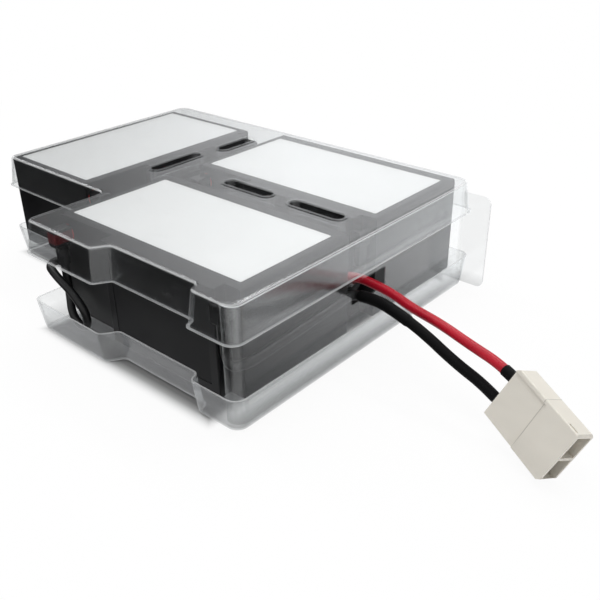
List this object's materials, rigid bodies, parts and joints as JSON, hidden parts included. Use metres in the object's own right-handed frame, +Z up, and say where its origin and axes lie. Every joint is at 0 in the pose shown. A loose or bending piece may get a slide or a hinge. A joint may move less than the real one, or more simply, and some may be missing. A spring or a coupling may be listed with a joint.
{
  "type": "ups battery cartridge",
  "caption": "Battery cartridge for an uninterruptible power supply: sealed batteries between clear formed trays, with a clear end cover, a pull tab and a wired plug.",
  "frame": {"origin": "centre of the footprint of the cartridge without its free leads and plug, on the surface that it stands on", "axes": "+X along the cartridge to the end cover that the leads come out of, +Y to the straight far wall, +Z up"},
  "size_m": [0.4276, 0.2262, 0.0752],
  "materials": {
    "clear_sheet": "gloss",
    "battery_case": "satin",
    "battery_lid": "satin",
    "vent_cover": "matte",
    "label": "satin",
    "tab_metal": "satin",
    "seal_red": "satin",
    "seal_black": "satin",
    "boot": "gloss",
    "boot_red": "gloss",
    "red_wire": "satin",
    "black_wire": "satin",
    "plug_body": "satin",
    "contact_metal": "satin"
  },
  "bodies": {
    "root": {"battery_1_case": "battery_case", "battery_1_lid": "battery_lid", "battery_1_negative_seal": "seal_black", "battery_1_negative_terminal": "tab_metal", "battery_1_positive_seal": "seal_red", "battery_1_positive_terminal": "tab_metal", "battery_1_vent_cover": "vent_cover", "battery_2_case": "battery_case", "battery_2_lid": "battery_lid", "battery_2_negative_seal": "seal_black", "battery_2_negative_terminal": "tab_metal", "battery_2_positive_seal": "seal_red", "battery_2_positive_terminal": "tab_metal", "battery_2_vent_cover": "vent_cover", "battery_3_case": "battery_case", "battery_3_lid": "battery_lid", "battery_3_negative_seal": "seal_black", "battery_3_negative_terminal": "tab_metal", "battery_3_positive_seal": "seal_red", "battery_3_positive_terminal": "tab_metal", "battery_3_vent_cover": "vent_cover", "black_inner_run": "black_wire", "black_lead": "black_wire", "boot_1_negative": "boot", "boot_1_positive": "boot", "boot_2_negative": "boot", "boot_2_positive": "boot", "boot_3_negative": "boot", "boot_3_positive": "boot_red", "bottom_tray": "clear_sheet", "end_cover": "clear_sheet", "jumper_1_to_3": "black_wire", "jumper_2_to_1": "black_wire", "label_1": "label", "label_2": "label", "label_3": "label", "plug_housing": "plug_body", "plug_negative_contact": "contact_metal", "plug_positive_contact": "contact_metal", "red_inner_run": "red_wire", "red_lead": "red_wire", "top_tray": "clear_sheet"}
  },
  "joints": []
}
